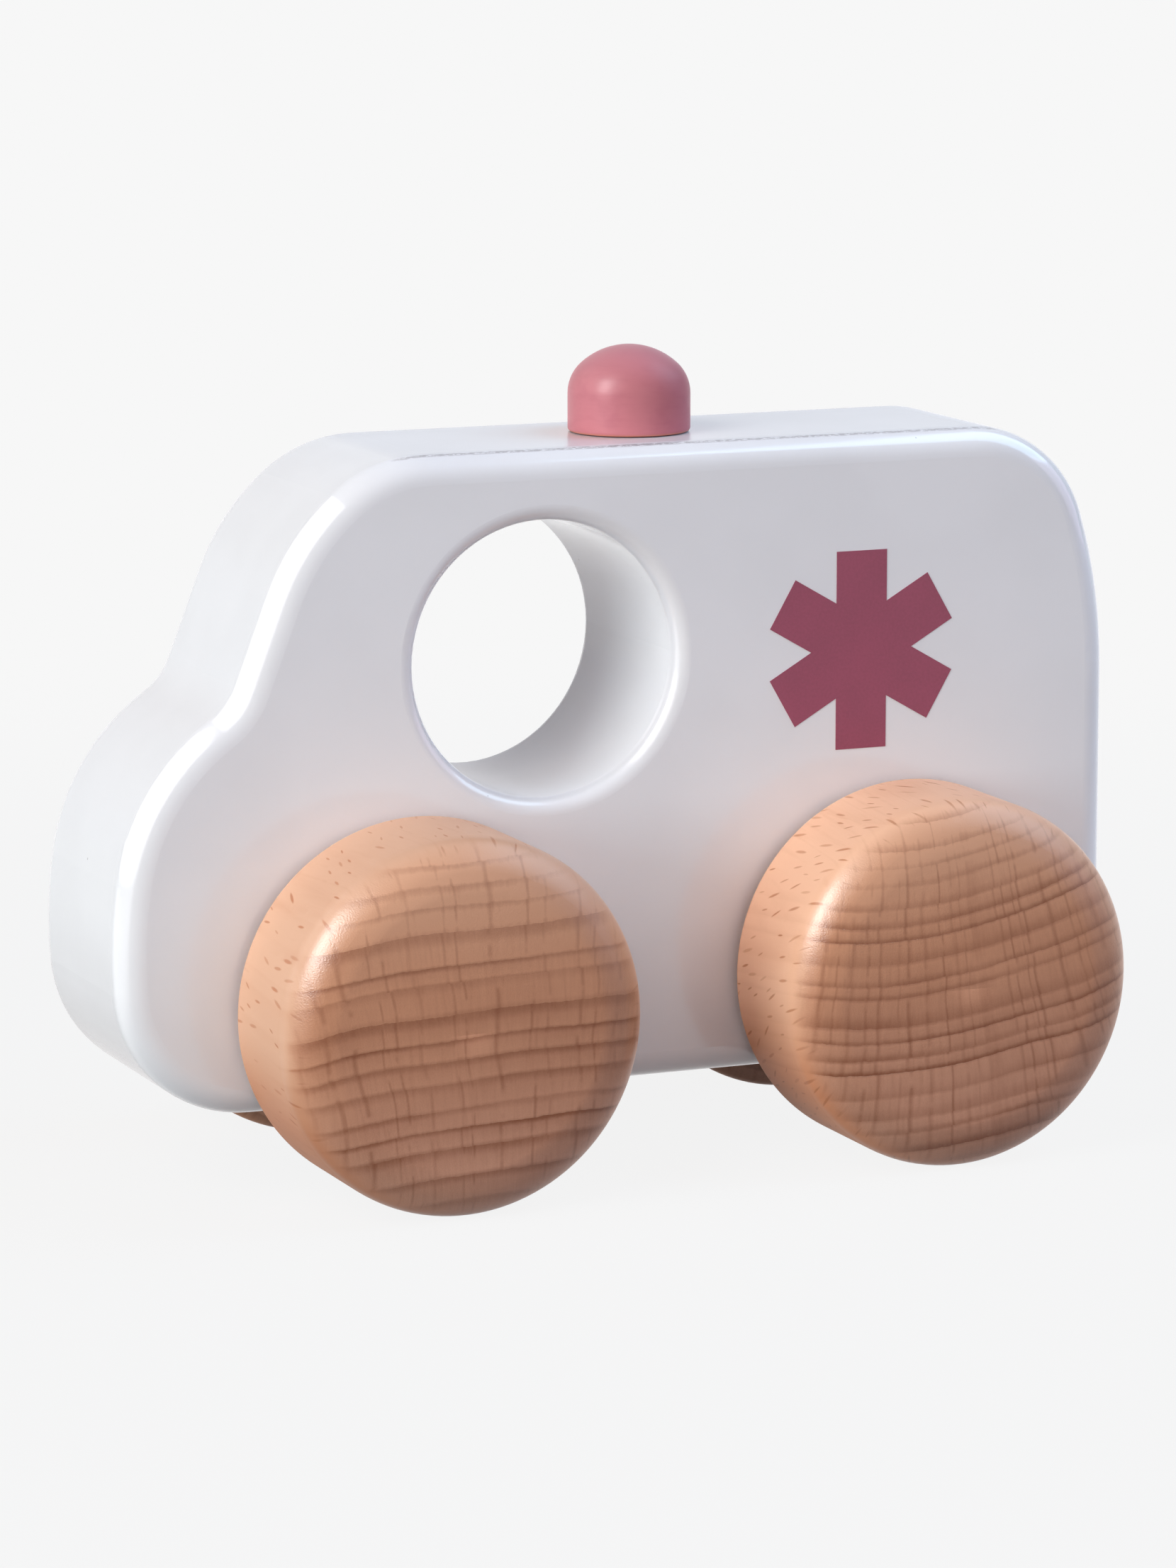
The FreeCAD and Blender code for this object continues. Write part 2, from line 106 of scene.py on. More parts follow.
class BeechSettings(bpy.types.PropertyGroup):
    side: colour_property("Side grain", "Colour along the grain, on the treads", (0.80, 0.465, 0.305))
    # painted shade: the treads are coloured darker low down, where less light falls
    side_shaded_low: colour_property("Lower side grain", "Colour low on the treads", (0.64, 0.25, 0.115))
    side_mark: colour_property("Side flecks", "Colour of the flecks on the treads", (0.46, 0.155, 0.06))
    end: colour_property("End grain", "Colour across the grain, on the faces", (0.585, 0.28, 0.16))
    # painted light: the lower faces are pinker, standing in for light bounced up from the floor
    end_low_painted_bounce: colour_property("Lower end grain", "Colour low on the faces", (0.62, 0.32, 0.21))
    end_mark: colour_property("End lines", "Colour of rings and rays on the faces", (0.26, 0.09, 0.042))
    line_width: length_property("Ring line", "Width of the dark line that ends a ring", 0.95 * MM)
    ray_width: length_property("Ray width", "Half width of a ray", 0.36 * MM)
    grain_depth: length_property("Grain depth", "Depth of the grain below the varnish", 0.032 * MM)
    fleck_spacing: length_property("Fleck spacing", "Distance between places for a fleck", 1.4 * MM)
    softening: length_property("Softening", "How far the outer faces fall away towards the rim", 1.2 * MM)
    roughness: factor_property("Roughness", "Roughness of the varnished wood", 0.29)


class LampSettings(bpy.types.PropertyGroup):
    pink: colour_property("Pink", "Colour of the lamp knob", (0.52, 0.178, 0.205))
    # also painted shade: the knob's side towards the tail is darker
    thin_paint_and_shade: colour_property("Worn pink", "Colour where the paint lies thin", (0.37, 0.098, 0.135))
    # painted light: the top of the dome is paler
    lit_crown: colour_property("Crown", "Colour of the top of the dome", (0.62, 0.235, 0.275))
    bare: colour_property("Bare wood", "Colour where the paint ends, at the foot", (0.60, 0.25, 0.12))
    # painted shadow: a dark line where the knob meets the roof
    gap: colour_property("Gap", "Colour of the dark line where the knob meets the roof", (0.07, 0.03, 0.05))
    turning_pitch: length_property("Turning pitch", "Distance between the turning marks", 0.22 * MM)
    turning_depth: length_property("Turning depth", "Depth of the turning marks", 0.018 * MM)
    roughness: factor_property("Roughness", "Roughness of the satin paint", 0.36)


class PrintSettings(bpy.types.PropertyGroup):
    ink: colour_property("Ink", "Colour of the cross", (0.30, 0.047, 0.097))
    tail_setback: length_property("Setback", "From the tail to the middle of the cross", 30.1 * MM)
    height: length_property("Height", "From the ground to the middle of the cross", 54.2 * MM)
    arm_width: length_property("Arm width", "Width of each arm", 5.94 * MM)
    span: length_property("Span", "From the tip of one arm to the tip of the opposite one", 21.5 * MM)
    film: length_property("Film", "Thickness of the printed film", 0.05 * MM)


class StudioSettings(bpy.types.PropertyGroup):
    azimuth: angle_property("Azimuth", "Camera's angle round the toy", math.radians(-22.97))
    elevation: angle_property("Elevation", "Camera's angle above the ground", math.radians(10.15))
    distance: length_property("Distance", "From the camera to its target", 657.8 * MM)
    target_x: place_property("Target X", "Where the camera looks, along the toy", 0.73 * MM)
    target_z: length_property("Target height", "Where the camera looks, above the ground", 39.21 * MM)
    lens: FloatProperty(name="Lens", description="Focal length in millimetres", default=139.62, min=1.0)
    backdrop: colour_property("Backdrop", "Colour of the floor and background", (0.93, 0.93, 0.93))


class ToySettings(bpy.types.PropertyGroup):
    lacquer: PointerProperty(type=LacquerSettings)
    beech: PointerProperty(type=BeechSettings)
    lamp: PointerProperty(type=LampSettings)
    cross: PointerProperty(type=PrintSettings)
    studio: PointerProperty(type=StudioSettings)


# Shader building


# where a mask made from noise, which keeps near 0.5, starts and is full
SOFT_STEP = (0.35, 0.65)


class Wire:
    """An output socket of a node. Arithmetic on it adds Math nodes."""

    def __init__(self, shader, socket):
        self.shader = shader
        self.socket = socket

    def maths(self, operation, *terms):
        return self.shader.add("ShaderNodeMath", {"operation": operation}, dict(enumerate(terms)))

    def __add__(self, other):
        return self.maths("ADD", self, other)

    def __radd__(self, other):
        return self.maths("ADD", other, self)

    def __sub__(self, other):
        return self.maths("SUBTRACT", self, other)

    def __rsub__(self, other):
        return self.maths("SUBTRACT", other, self)

    def __mul__(self, other):
        return self.maths("MULTIPLY", self, other)

    def __rmul__(self, other):
        return self.maths("MULTIPLY", other, self)

    def __truediv__(self, other):
        return self.maths("DIVIDE", self, other)

    def __rtruediv__(self, other):
        return self.maths("DIVIDE", other, self)

    def __pow__(self, other):
        return self.maths("POWER", self, other)

    def __neg__(self):
        return self.maths("MULTIPLY", -1.0, self)

    def __abs__(self):
        return self.maths("ABSOLUTE", self)

    def floor(self):
        return self.maths("FLOOR", self)

    def part(self):
        return self.maths("FRACT", self)

    def root(self):
        return self.maths("SQRT", self)

    def angle(self, other):
        return self.maths("ARCTAN2", self, other)

    def most(self, other):
        return self.maths("MAXIMUM", self, other)

    def within(self):
        """The value, held between 0 and 1."""
        return self.shader.add("ShaderNodeClamp", {}, {"Value": self})

    def ramp(self, start, end):
        """0 at start and 1 at end, smooth between them."""
        inputs = {"Value": self, "From Min": start, "From Max": end}
        return self.shader.add("ShaderNodeMapRange", {"interpolation_type": "SMOOTHSTEP"}, inputs)


class Shader:
    """A node tree that is being built."""

    def __init__(self, owner):
        owner.use_nodes = True
        self.tree = owner.node_tree
        self.tree.nodes.clear()

    def add(self, kind, settings=None, inputs=None, output=0):
        """Adds a node, with its settings first and then its sockets, and returns an output."""
        node = self.tree.nodes.new(kind)
        for name, value in (settings or {}).items():
            setattr(node, name, value)
        for key, value in (inputs or {}).items():
            if isinstance(value, Wire):
                self.tree.links.new(value.socket, node.inputs[key])
            else:
                node.inputs[key].default_value = value
        if isinstance(output, tuple):
            return [Wire(self, node.outputs[key]) for key in output]
        return Wire(self, node.outputs[output])

    def place(self, centre=(0, 0, 0), turn=(0, 0, 0)):
        """Object coordinates in millimetres from a centre, turned with a pattern."""
        here = self.add("ShaderNodeTexCoord", output="Object")
        inputs = {"Vector": here, "Location": centre, "Rotation": turn, "Scale": (MM, MM, MM)}
        return self.add("ShaderNodeMapping", {"vector_type": "TEXTURE"}, inputs)

    def split(self, vector):
        return self.add("ShaderNodeSeparateXYZ", inputs={0: vector}, output=(0, 1, 2))

    def point(self, x, y, z):
        return self.add("ShaderNodeCombineXYZ", inputs={0: x, 1: y, 2: z})

    def scaled(self, vector, factor):
        return self.add("ShaderNodeVectorMath", {"operation": "SCALE"}, {0: vector, "Scale": factor})

    def length(self, vector):
        return self.add("ShaderNodeVectorMath", {"operation": "LENGTH"}, {0: vector}, output="Value")

    def noise(self, vector, detail=2.0, roughness=0.5):
        inputs = {"Vector": vector, "Scale": 1.0, "Detail": detail, "Roughness": roughness}
        return self.add("ShaderNodeTexNoise", {"noise_dimensions": "3D"}, inputs)

    def waves(self, axes, counts, start=(0.0, 0.0, 0.0), detail=2.0, roughness=0.5):
        """Noise with so many waves for each unit of its three axes, counted from a start."""
        places = [axis * count + first if first else axis * count
                  for axis, count, first in zip(axes, counts, start)]
        return self.noise(self.point(*places), detail, roughness)

    def waves_along(self, value):
        """Noise with one wave for each unit of a value."""
        inputs = {"W": value, "Scale": 1.0, "Detail": 1.0}
        return self.add("ShaderNodeTexNoise", {"noise_dimensions": "1D"}, inputs)

    def chance(self, value):
        """A random number for each whole number."""
        return self.add("ShaderNodeTexWhiteNoise", {"noise_dimensions": "1D"}, {"W": value})

    def light_rays(self):
        """Masks of the rays that the camera sees, also through something clear, and of mirrored ones."""
        sockets = ("Is Camera Ray", "Is Glossy Ray", "Is Transmission Ray")
        seen, mirrored, clear = self.add("ShaderNodeLightPath", output=sockets)
        return seen.most(clear), mirrored

    def blend(self, factor, first, second, way="MIX"):
        """Mixes two colours."""
        first = first if isinstance(first, Wire) else (*first, 1.0)
        second = second if isinstance(second, Wire) else (*second, 1.0)
        settings = {"data_type": "RGBA", "blend_type": way}
        return self.add("ShaderNodeMix", settings, {0: factor, 6: first, 7: second}, output=2)

    def bump(self, height, depth):
        return self.add("ShaderNodeBump", {}, {"Height": height, "Distance": depth, "Strength": 1.0})

    def finish(self, inputs):
        surface = self.add("ShaderNodeBsdfPrincipled", {}, inputs)
        self.add_output(surface)

    def add_output(self, surface):
        self.add("ShaderNodeOutputMaterial", {}, {"Surface": surface}, output=())


def material(name):
    made = bpy.data.materials.new(name)
    return made, Shader(made)


def toned(colour, factor):
    return tuple(channel * factor for channel in colour)


def between(factor, low, high):
    """The low value where a factor is 0, and the high one where it is 1."""
    return low + (high - low) * factor


def dress(node, finish):
    """Gives a CAD node its finish."""
    for slot in frame["nodes"][node].material_slots:
        slot.material = finish


# White lacquer


# lengths in millimetres, and waves of a pattern in each millimetre
EMPTY_CELLS = 0.62              # share of the places for a speck that hold none
LEAST_SPECK = 0.2               # how much of the largest speck's size every speck has
SPECK_EDGE = (1.0, 0.5)         # shares of a speck's radius where it starts and where it is full
SPECK_STRENGTH = 0.8
CLOUD_WAVES = 0.06
CLOUD_TONE = 0.965
PEEL_DETAIL = 3.0
PEEL_ROUGHNESS = 0.55
REFLECTION_LINE_SHARE = 0.72          # of the edge's radius, from the side face to the painted reflection line
REFLECTION_LINE_FADE = (0.46, 0.06)   # from the line's middle, where it starts and where it is full
REFLECTION_LINE_DEPTH = 0.6           # below the top of the roof, where the painted reflection line starts
REFLECTION_LINE_WAVES = (1.5, 4.0, 4.0)
REFLECTION_LINE_STEP = (0.38, 0.54)
REFLECTION_LINE_STRENGTH = 0.95
ROOF_FADE = (-0.5, -0.1)        # from the top of the roof, where the duller lacquer starts and is full
BORE_FADE = (1.4, -0.2)         # from the finger hole's wall, where the duller lacquer starts and is full
BORE_MIDDLE = 0.5               # how dull the bore is at mid height
BORE_SLOPE = 0.03               # and how much duller for each millimetre down
ROOF_DULLNESS = 0.10
BORE_DULLNESS = 0.10
ROOF_GLOSS_LOSS = 0.85
BORE_GLOSS_LOSS = 0.8


def lacquer_specks(shader, spot, settings):
    """Dust under the lacquer. Cells of a grid hold a speck or none, and each speck has its own size."""
    spacing = settings.speck_spacing / MM
    cells = {"feature": "F1", "distance": "EUCLIDEAN"}
    inputs = {"Vector": spot, "Scale": 1.0 / spacing}
    far, tint = shader.add("ShaderNodeTexVoronoi", cells, inputs, output=("Distance", "Color"))
    draw, size, _ = shader.split(tint)
    held = (draw - EMPTY_CELLS).ramp(0.0, 0.02)
    largest = settings.speck_size / settings.speck_spacing
    return (far / (size * largest + LEAST_SPECK * largest)).ramp(*SPECK_EDGE) * held


def roof_edge_reflection_lines(shader, spot, settings):
    """Painted dark reflection: broken grey lines along both edges of the roof, where the round begins."""
    axes = shader.split(spot)
    _, y, z = axes
    from_line = abs(abs(y) - (BODY_HIGH.y - settings.edge * REFLECTION_LINE_SHARE) / MM)
    on_roof = (z - (BODY_HIGH.z / MM - REFLECTION_LINE_DEPTH)).ramp(0.0, REFLECTION_LINE_DEPTH / 2)
    broken = shader.waves(axes, REFLECTION_LINE_WAVES, detail=4.0, roughness=0.7).ramp(*REFLECTION_LINE_STEP)
    return from_line.ramp(*REFLECTION_LINE_FADE) * on_roof * broken * REFLECTION_LINE_STRENGTH


def bore_dullness(shader, spot):
    """1 where the lacquer in the finger hole is dullest, low in the bore, and 0 outside the hole."""
    x, _, z = shader.split(spot)
    hole_x, _, hole_z = HOLE["pos_m"]
    across = x - hole_x / MM
    up = z - hole_z / MM
    start, full = (HOLE["dims"]["r_mm"] + past for past in BORE_FADE)
    return (across * across + up * up).root().ramp(start, full) * (BORE_MIDDLE - up * BORE_SLOPE)


def make_lacquer(settings):
    finish, shader = material("white_lacquer_gloss")
    spot = shader.place()
    specks = lacquer_specks(shader, spot, settings) * SPECK_STRENGTH
    cloud = shader.noise(shader.scaled(spot, CLOUD_WAVES)).ramp(*SOFT_STEP)
    colour = shader.blend(cloud, toned(settings.white, CLOUD_TONE), settings.white)
    colour = shader.blend(specks, colour, settings.speck_and_reflection_grey)
    # painted reflection: a broken grey line along each roof edge
    colour = shader.blend(roof_edge_reflection_lines(shader, spot, settings), colour, settings.speck_and_reflection_grey)

    # the roof is less glossy than the sides, and inside the finger hole the lacquer is dull
    _, _, z = shader.split(spot)
    roof = (z - BODY_HIGH.z / MM).ramp(*ROOF_FADE)
    bore = bore_dullness(shader, spot)

    ripples = shader.noise(shader.scaled(spot, MM / settings.peel_size), PEEL_DETAIL, PEEL_ROUGHNESS)
    shader.finish({
        "Base Color": colour,
        "Roughness": settings.roughness + bore * BORE_DULLNESS + roof * ROOF_DULLNESS,
        "Coat Weight": settings.gloss * (1.0 - bore * BORE_GLOSS_LOSS) * (1.0 - roof * ROOF_GLOSS_LOSS),
        "Coat Roughness": settings.gloss_roughness,
        "Normal": shader.bump(ripples + specks, settings.peel_depth),
    })
    return finish


# Beech


# pith: where the middle of the log lies from the wheel's centre, across and up, in millimetres
# ring and ray: their spacing in millimetres; share: how many rays show; flecks: the same on the tread
# lean: how the grain runs off the axle's direction; tone: how light the treads are
# slant: how far the flecks run round the tread, for each millimetre along it
WHEEL_GROWTH = {
    "front_left_wheel": {
        "pith": (9.0, -130.0), "lean": (0.05, 0.07), "seed": 3.0, "tone": 0.88,
        "ring": 2.55, "ray": 2.7, "share": 0.20, "flecks": 0.36, "slant": 0.12,
    },
    "rear_left_wheel": {
        "pith": (-9.0, 73.0), "lean": (-0.08, -0.06), "seed": 11.0, "tone": 1.05,
        "ring": 2.1, "ray": 1.75, "share": 0.25, "flecks": 0.62, "slant": -0.42,
    },
    "front_right_wheel": {
        "pith": (-40.0, -70.0), "lean": (0.05, -0.08), "seed": 23.0, "tone": 1.12,
        "ring": 2.05, "ray": 2.0, "share": 0.22, "flecks": 0.36, "slant": 0.15,
    },
    "rear_right_wheel": {
        "pith": (30.0, 88.0), "lean": (-0.06, 0.09), "seed": 37.0, "tone": 1.12,
        "ring": 2.4, "ray": 2.2, "share": 0.23, "flecks": 0.50, "slant": -0.3,
    },
}

# the wheels' form and where their tones change, in millimetres, with heights from the axle; the tones that
# change with height are painted light and shade
WHEEL_SHOULDER = 3.5            # radius of the rounded shoulder
WHEEL_CROWN = 0.8               # how far the outer face bulges
WHEEL_BASE_ROUND = 1.0          # radius of the inner face's edge
FALL_SPAN = (14.5, 19.5)        # radii between which the outer face falls away softly
FACE_LOW_SPAN = (4.0, -16.0)    # heights at which a face starts to turn pinker, and has
FACE_TOP_SPAN = (4.0, 18.0)     # the same for the paler top of a face
# painted shade on the lower part of each tread
TREAD_SHADE_SPAN = (1.0, -12.0)   # and for the lower part of a tread
# shares of the shoulder where end grain starts and is full, and where side grain is full and ends
END_FADE = (0.35, 1.0)
SIDE_FADE = (0.0, 0.3)
# shares of the wheel's radius, from the axle's height, where rays start to meet the tread edge on
EDGE_ON_FADE = (0.10, 0.50)

# how strong each mark is on the treads, and on the faces
LINE_STRENGTH = (0.10, 0.50)
BAND_STRENGTH = (0.06, 0.56)
RAY_STRENGTH = (0.10, 0.46)
FINE_RAY_STRENGTH = (0.05, 0.12)
FIBRE_STRENGTH = (0.10, 0.32)
PORE_STRENGTH = (0.02, 0.18)
PORE_RELIEF = (0.25, 1.0)
FLECK_STRENGTH = 0.85
CLOUD_STRENGTH = 0.5
MARK_RELIEF = 0.5
RINGS_OVER_RAYS = 0.9           # how much of a ray a ring hides
# painted shade on the lower half of each face, and painted light at its top
FACE_PAINTED_SHADE = 0.11              # how much darker the face's lower half is
FACE_PAINTED_LIGHT_UP = 0.019           # and how much paler for each millimetre above the axle
FACE_PAINTED_TOP_LIGHT = 0.5             # how much of the treads' colour the top of a face has
TREAD_ROUGHNESS = 0.24
PORE_ROUGHNESS = 0.02

# fine rays between the wide ones: their width and spacing as shares of those, and how many show
FINE_RAY_WIDTH = 0.55
FINE_RAY_SPACING = 0.37
FINE_RAY_SHARE = 0.10
FINE_RAY_SEED = 5.0

# the dowels' fibres: waves in each millimetre, and their depth
DOWEL_WAVES_ALONG = 0.08
DOWEL_WAVES_ACROSS = 1.4
DOWEL_RELIEF = 0.02 * MM


class BeechGrain:
    """Growth rings, rays and fibres of one piece of beech, as tones from 0 to 1. Millimetres."""

    # waves in each millimetre: across the fibres, along them and up
    SWAY_WAVES = (0.045, 0.03, 0.045)
    RAG_WAVES = (1.3, 0.2, 1.3)
    PORE_WAVES = (6.0, 0.7, 6.0)
    CLOUD_WAVES = (0.05, 0.05, 0.11)
    # round the pith, away from it and along the fibres
    FIBRE_WAVES = (2.3, 0.26, 0.16)
    # for each ring and along the fibres
    PATCH_WAVES = (3.7, 0.05)
    # for each ray, away from the pith and along the fibres
    RAY_WAVES = (7.31, 0.31, 0.45)

    SWAY = 2.4                    # how far slow waves move a ring
    RAG = 0.26                    # how far fine ones do
    RING_GROUP = 2.4              # how many rings share a change of their spacing
    RING_PLAY = 1.1               # how far it moves them, in rings
    LINE_CORE = 0.10              # from a ring's end, where its line is darkest
    LINE_FADE = 0.40              # past a ring's end, where its line is gone
    LATE_WOOD = 1.3               # how late in a ring its wood darkens
    # where a patch starts and is full, and its waves in each millimetre round the pith
    LINE_PATCHES = (0.4, 0.6, 0.12)
    BAND_PATCHES = (0.3, 0.62, 0.06)
    RAY_JOG = 0.55                # how far a ray jumps aside from ring to ring
    RAY_DRIFT = 0.9               # how far it wanders
    RAY_DRIFT_WAVES = 0.11
    RAY_GROUP = 2.3               # how many rays share a change of their spacing
    RAY_PLAY = 1.6                # how far it moves them, in rays
    RAY_ASIDE = 0.4               # how far each ray lies off its place, in rays
    RAY_SHOWN = (0.58, 0.72)      # where a ray starts to show and is full, less its share
    FLECK_STRETCH = 2.5           # spacing of the flecks along the fibres, for each one across
    FLECK_WIDTH = (0.09, 0.21)    # half widths of the smallest and the largest flecks
    FLECK_LENGTH = (0.42, 1.17)   # half lengths of them
    FLECK_ASIDE = 0.5             # how far a fleck lies off its row, in rows
    FLECK_TILT = 0.6              # how far its ends turn off the fibres
    FLECK_EDGE = (1.25, 0.55)     # where it fades out, in half widths and lengths

    def __init__(self, shader, growth, axes):
        across, self.along, up = axes
        self.axes = axes
        self.shader = shader
        self.seed = growth["seed"]
        self.step = growth["ring"]
        pith_x, pith_z = growth["pith"]
        dx = across - pith_x
        dz = up - pith_z
        sway = shader.waves(self.axes, self.SWAY_WAVES, (self.seed, 0.0, 0.0), 1.5) - 0.5
        rag = shader.waves(self.axes, self.RAG_WAVES, (0.0, 0.0, self.seed)) - 0.5
        # distance from the pith, and distance round it
        self.reach = (dx * dx + dz * dz).root() + sway * self.SWAY + rag * self.RAG
        above = 1.0 if pith_z < 0 else -1.0
        self.round = dx.angle(dz * above) * math.hypot(pith_x, pith_z)
        uneven = shader.waves_along(self.reach / (self.step * self.RING_GROUP) + self.seed)
        self.phase = self.reach / self.step + uneven * self.RING_PLAY
        self.ring = self.phase.floor()
        self.luck = shader.chance(self.ring + self.seed)

    def patches(self, low, high, spread):
        """Where along a ring a tone is strong."""
        axes = (self.round, self.ring, self.along)
        patches = self.shader.waves(axes, (spread, *self.PATCH_WAVES), (0.0, self.seed, 0.0), 1.0)
        return patches.ramp(low, high)

    def lines(self, width):
        """The sharp dark line at the end of each ring."""
        grown = self.phase.part()
        before = ((1.0 - grown) * self.step).ramp(width, self.LINE_CORE)
        after = (grown * self.step).ramp(self.LINE_FADE, 0.0)
        return before.most(after) * (0.35 + 0.40 * self.luck + 0.25 * self.patches(*self.LINE_PATCHES))

    def bands(self):
        """Late wood, which darkens towards the end of each ring."""
        strength = (0.3 + 0.7 * self.luck) * (0.4 + 0.6 * self.patches(*self.BAND_PATCHES))
        return self.phase.part() ** self.LATE_WOOD * strength

    def rays(self, width, spacing, share, more_seed=0.0):
        """Lines that run out from the pith, broken along their length and along the fibres."""
        shader = self.shader
        seed = self.seed + more_seed
        jog = (shader.chance(self.ring + seed) - 0.5) * self.RAY_JOG
        drift = shader.waves_along(self.reach * self.RAY_DRIFT_WAVES + seed) * self.RAY_DRIFT
        place = self.round + jog + drift
        uneven = shader.waves_along(place / (spacing * self.RAY_GROUP) + seed)
        phase = place / spacing + uneven * self.RAY_PLAY
        ray = phase.floor()
        aside = (shader.chance(ray + seed * 2.3) - 0.5) * self.RAY_ASIDE
        off = abs(phase.part() - 0.5 + aside) * spacing
        start, full = (bound - share for bound in self.RAY_SHOWN)
        shown = shader.waves((ray, self.reach, self.along), self.RAY_WAVES, (seed, 0.0, 0.0))
        luck = shader.chance(ray + seed * 1.7)
        return off.ramp(width, 0.0) * shown.ramp(start, full) * (0.35 + 0.65 * luck)

    def flecks(self, turn, spacing, share):
        """Short dashes along the fibres, where rays end at the tread. Turn is the way round it."""
        shader = self.shader
        length = spacing * self.FLECK_STRETCH
        row = (turn / spacing).floor()
        place = self.along / length + shader.chance(row + self.seed) * 7.0
        # odd steps keep the random draws of the cells apart
        cell = row * 13.7 + place.floor() * 3.1 + self.seed
        size = shader.chance(cell + 0.4)
        off = (shader.chance(cell + 0.7) - 0.5) * self.FLECK_ASIDE
        tilt = (shader.chance(cell + 0.2) - 0.5) * self.FLECK_TILT
        aside = ((turn / spacing).part() - 0.5 + off) * spacing
        ahead = (place.part() - 0.5) * length
        across = (aside + ahead * tilt) / between(size, *self.FLECK_WIDTH)
        ahead = ahead / between(size, *self.FLECK_LENGTH)
        shape = (across * across + ahead * ahead).root().ramp(*self.FLECK_EDGE)
        shown = shader.chance(cell).ramp(share + 0.02, share)
        return shape * shown * (0.45 + 0.55 * shader.chance(cell + 0.9))

    def streaks(self):
        """Fine fibres between the rays, as a tone round 0."""
        axes = (self.round, self.reach, self.along)
        return self.shader.waves(axes, self.FIBRE_WAVES, (self.seed, 0.0, 0.0), 3.0, 0.6) - 0.5

    def pores(self):
        """Pores, drawn out along the fibres, as a tone round 0."""
        return self.shader.waves(self.axes, self.PORE_WAVES, (0.0, 0.0, self.seed)) - 0.5

    def cloud(self):
        """Slow changes over the piece, as a tone round 0."""
        return self.shader.waves(self.axes, self.CLOUD_WAVES, (0.0, 0.0, self.seed), 1.0) - 0.5


def make_beech(node, growth, settings):
    finish, shader = material(f"beech_{node}")
    low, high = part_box(node)
    centre = (low + high) / 2
    outward = 1.0 if centre.y > 0 else -1.0
    lean_x, lean_z = growth["lean"]
    axes = shader.split(shader.place(centre, (lean_x, 0.0, lean_z)))
    across, _, up = axes
    level_x, straight, level_z = shader.split(shader.place(centre))
    grain = BeechGrain(shader, growth, axes)

    # the faces show end grain, and the treads side grain
    half_width = (high.y - low.y) / 2 / MM
    wheel_radius = (high.z - low.z) / 2 / MM
    shoulder_start = half_width - WHEEL_CROWN - WHEEL_SHOULDER
    outer = ((straight * outward - shoulder_start) / WHEEL_SHOULDER).within()
    inner = (straight * -outward - (half_width - WHEEL_BASE_ROUND)).within()
    end = outer.ramp(*END_FADE).most(inner)
    tread = 1.0 - outer.ramp(*SIDE_FADE).most(inner)

    # rays show where they meet the surface edge on: on the faces, and on top and below on the treads
    edge_on = (abs(up) / wheel_radius).ramp(*EDGE_ON_FADE).most(end)
    width = settings.ray_width / MM
    spacing = growth["ray"]
    rays = grain.rays(width, spacing, growth["share"]) * edge_on
    fine = grain.rays(width * FINE_RAY_WIDTH, spacing * FINE_RAY_SPACING, FINE_RAY_SHARE, FINE_RAY_SEED)
    fine = fine * edge_on
    turn = across.angle(up) * wheel_radius - straight * growth["slant"]
    flecks = grain.flecks(turn, settings.fleck_spacing / MM, growth["flecks"]) * (1.0 - end)
    pores = grain.pores()

    rings = grain.lines(settings.line_width / MM) * between(end, *LINE_STRENGTH)
    rings = rings + grain.bands() * between(end, *BAND_STRENGTH)
    crossing = rays * between(end, *RAY_STRENGTH) + fine * between(end, *FINE_RAY_STRENGTH)
    crossing = crossing + flecks * FLECK_STRENGTH
    texture = grain.streaks() * between(end, *FIBRE_STRENGTH) + pores * between(end, *PORE_STRENGTH)
    texture = texture + grain.cloud() * CLOUD_STRENGTH
    pattern = rings + crossing * (1.0 - rings * RINGS_OVER_RAYS)

    # painted light and shade: the top of each face is paler, and the lower part is pinker and a little
    # darker
    painted_light_and_shade = (FACE_PAINTED_SHADE - up.most(0.0) * FACE_PAINTED_LIGHT_UP) * end
    face = shader.blend(up.ramp(*FACE_LOW_SPAN), settings.end, settings.end_low_painted_bounce)
    face = shader.blend(up.ramp(*FACE_TOP_SPAN) * FACE_PAINTED_TOP_LIGHT, face, settings.side)
    # painted shade: the lower part of each tread is darker
    tread_tones = (toned(colour, growth["tone"]) for colour in (settings.side, settings.side_shaded_low))
    light = shader.blend(end, shader.blend(up.ramp(*TREAD_SHADE_SPAN), *tread_tones), face)
    mark = shader.blend(end, settings.side_mark, settings.end_mark)

    # relief in millimetres; the outer faces fall away softly towards the rim
    fall = (level_x * level_x + level_z * level_z).root().ramp(*FALL_SPAN)
    depth = settings.grain_depth / MM
    relief = pattern * (-MARK_RELIEF * depth) + pores * between(end, *PORE_RELIEF) * depth
    relief = relief - fall * (settings.softening / MM)
    shader.finish({
        "Base Color": shader.blend((pattern + texture + painted_light_and_shade).within(), light, mark),
        "Roughness": settings.roughness + TREAD_ROUGHNESS * tread + pores * PORE_ROUGHNESS,
        "Specular IOR Level": 0.29,
        "Normal": shader.bump(relief, MM),
    })
    return finish


def make_dowel_wood(node, settings):
    finish, shader = material(f"dowel_{node}")
    low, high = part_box(node)
    size = high - low
    waves = [DOWEL_WAVES_ALONG if side == max(size) else DOWEL_WAVES_ACROSS for side in size]
    axes = shader.split(shader.place((low + high) / 2))
    streaks = shader.waves(axes, waves, detail=3.0)
    colour = shader.blend(streaks.ramp(0.3, 0.75), settings.side, settings.side_mark)
    relief = shader.bump(streaks, DOWEL_RELIEF)
    shader.finish({"Base Color": colour, "Roughness": 0.55, "Normal": relief})
    return finish


# Pink lamp


